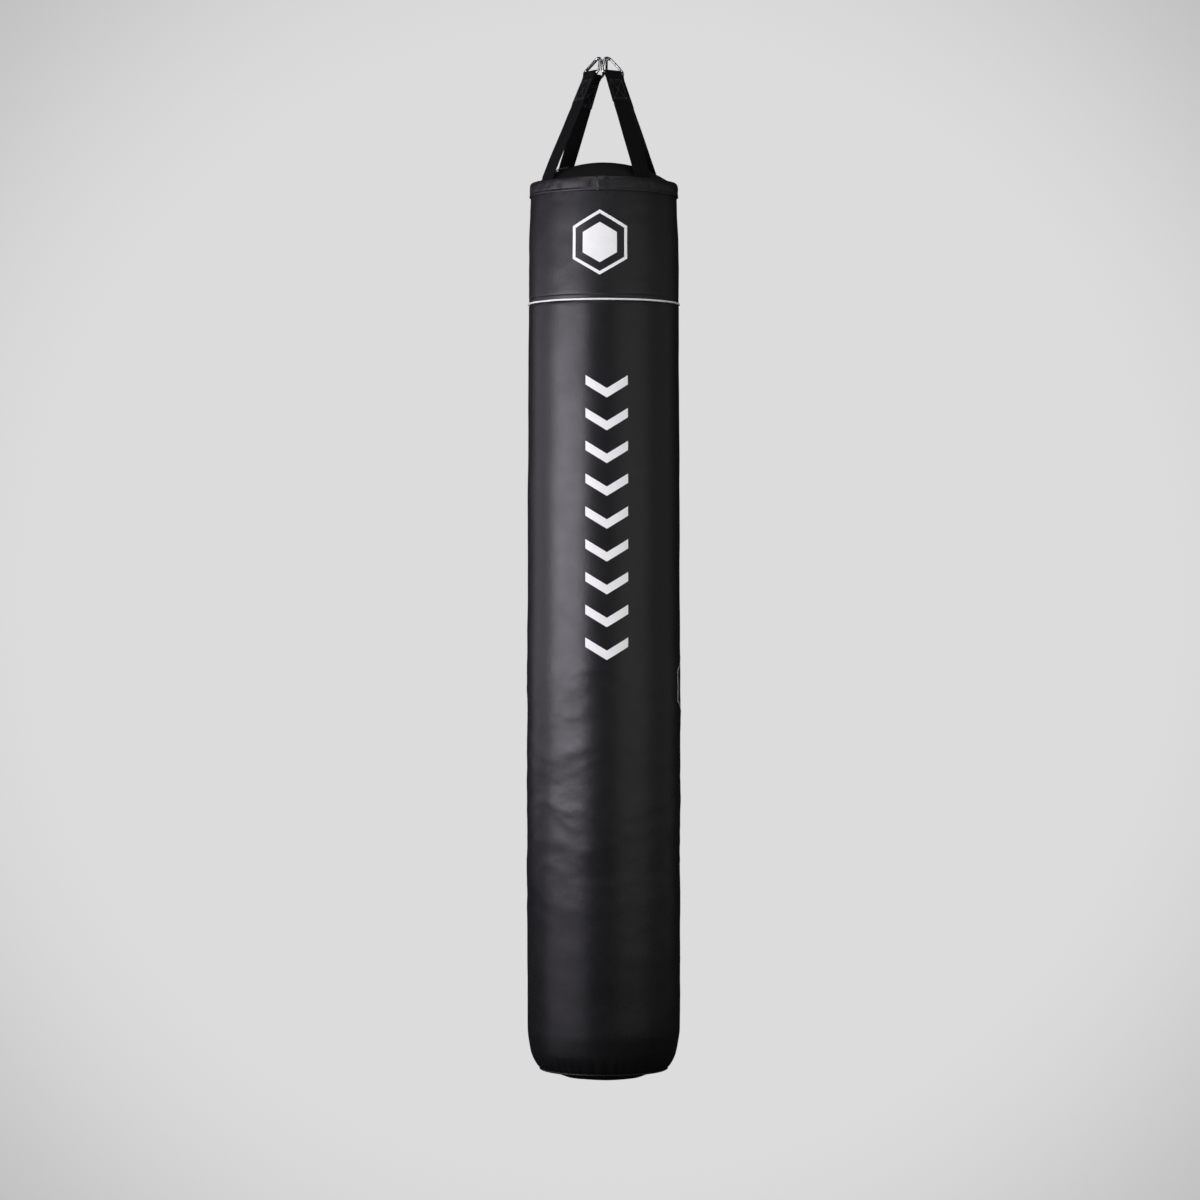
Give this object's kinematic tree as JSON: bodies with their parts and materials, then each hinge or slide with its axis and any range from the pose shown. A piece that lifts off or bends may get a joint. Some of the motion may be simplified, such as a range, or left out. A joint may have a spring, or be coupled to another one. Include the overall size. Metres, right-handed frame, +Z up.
{
  "type": "hanging heavy bag",
  "caption": "Long cylindrical leather heavy bag with a zipped cloth lid, hung from webbing straps that end in steel rings for a ceiling hook.",
  "frame": {"origin": "the hang point: on the bag's axis, level with the inside of the four ring tips, where a hook bears", "axes": "+Z up along the bag's axis, front towards -Y, the lid's zip along X"},
  "size_m": [0.3086, 0.3101, 2.0556],
  "materials": {
    "leather": "satin black coated leather with a fine grain",
    "piping": "white vinyl piping",
    "webbing": "black woven polyester webbing",
    "steel": "bright nickel-plated steel wire",
    "lid_cloth": "black woven nylon",
    "zip_plastic": "black nylon coil",
    "zip_metal": "dark nickel-plated zinc",
    "lining": "grey woven polyester",
    "foam": "closed-cell foam",
    "rag_fill": "packed shredded cloth"
  },
  "bodies": {
    "bag": {"main_shell": "leather", "top_panel": "leather", "rim_hem": "leather", "base_panel": "leather", "back_seam_strip": "leather", "base_seam_cord": "leather", "seam_piping": "piping", "woven_lining": "lining", "foam_sleeve": "foam", "textile_fill": "rag_fill", "base_foam_pad": "foam", "base_canvas_disc": "lining", "lid_foam_dome": "foam", "lid_front": "lid_cloth", "lid_back": "lid_cloth", "zip_tape_front": "lid_cloth", "zip_tape_back": "lid_cloth", "zip_teeth": "zip_plastic", "zip_end_stops": "zip_metal", "rim_webbing_band": "webbing", "strap_anchor_front_right": "webbing", "strap_anchor_back_right": "webbing", "strap_anchor_back_left": "webbing", "strap_anchor_front_left": "webbing"},
    "front_right_strap": {"strap_front_right": "webbing"},
    "front_right_ring": {"ring_front_right": "steel"},
    "back_right_strap": {"strap_back_right": "webbing"},
    "back_right_ring": {"ring_back_right": "steel"},
    "back_left_strap": {"strap_back_left": "webbing"},
    "back_left_ring": {"ring_back_left": "steel"},
    "front_left_strap": {"strap_front_left": "webbing"},
    "front_left_ring": {"ring_front_left": "steel"},
    "slider": {"zip_slider": "zip_metal"},
    "pull": {"zip_pull_tab": "zip_metal"}
  },
  "joints": [
    {"name": "front_right_strap_fold", "type": "hinge", "parent": "bag", "child": "front_right_strap", "pos_m": [0.07669, -0.11808, -0.2484], "axis": [0.8387, 0.5446, 0], "range_deg": [0, 112]},
    {"name": "front_right_ring_turn", "type": "hinge", "parent": "front_right_strap", "child": "front_right_ring", "pos_m": [0.01797, -0.02768, -0.03008], "axis": [0.8387, 0.5446, 0], "range_deg": [0, 140]},
    {"name": "back_right_strap_fold", "type": "hinge", "parent": "bag", "child": "back_right_strap", "pos_m": [0.10297, 0.09603, -0.2484], "axis": [-0.682, 0.7314, 0], "range_deg": [0, 112]},
    {"name": "back_right_ring_turn", "type": "hinge", "parent": "back_right_strap", "child": "back_right_ring", "pos_m": [0.02413, 0.02251, -0.03008], "axis": [-0.682, 0.7314, 0], "range_deg": [0, 140]},
    {"name": "back_left_strap_fold", "type": "hinge", "parent": "bag", "child": "back_left_strap", "pos_m": [-0.08861, 0.10942, -0.2484], "axis": [-0.7771, -0.6293, 0], "range_deg": [0, 112]},
    {"name": "back_left_ring_turn", "type": "hinge", "parent": "back_left_strap", "child": "back_left_ring", "pos_m": [-0.02077, 0.02565, -0.03008], "axis": [-0.7771, -0.6293, 0], "range_deg": [0, 140]},
    {"name": "front_left_strap_fold", "type": "hinge", "parent": "bag", "child": "front_left_strap", "pos_m": [-0.11245, -0.08474, -0.2484], "axis": [0.6018, -0.7986, 0], "range_deg": [0, 112]},
    {"name": "front_left_ring_turn", "type": "hinge", "parent": "front_left_strap", "child": "front_left_ring", "pos_m": [-0.02635, -0.01986, -0.03008], "axis": [0.6018, -0.7986, 0], "range_deg": [0, 140]},
    {"name": "zip_run", "type": "hinge", "parent": "bag", "child": "slider", "pos_m": [0, 0, -0.45019], "axis": [0, 1, 0], "range_deg": [0, 48]},
    {"name": "zip_pull_flip", "type": "hinge", "parent": "slider", "child": "pull", "pos_m": [-0.10257, 0, -0.22474], "axis": [0, -1, 0], "range_deg": [0, 160]}
  ]
}
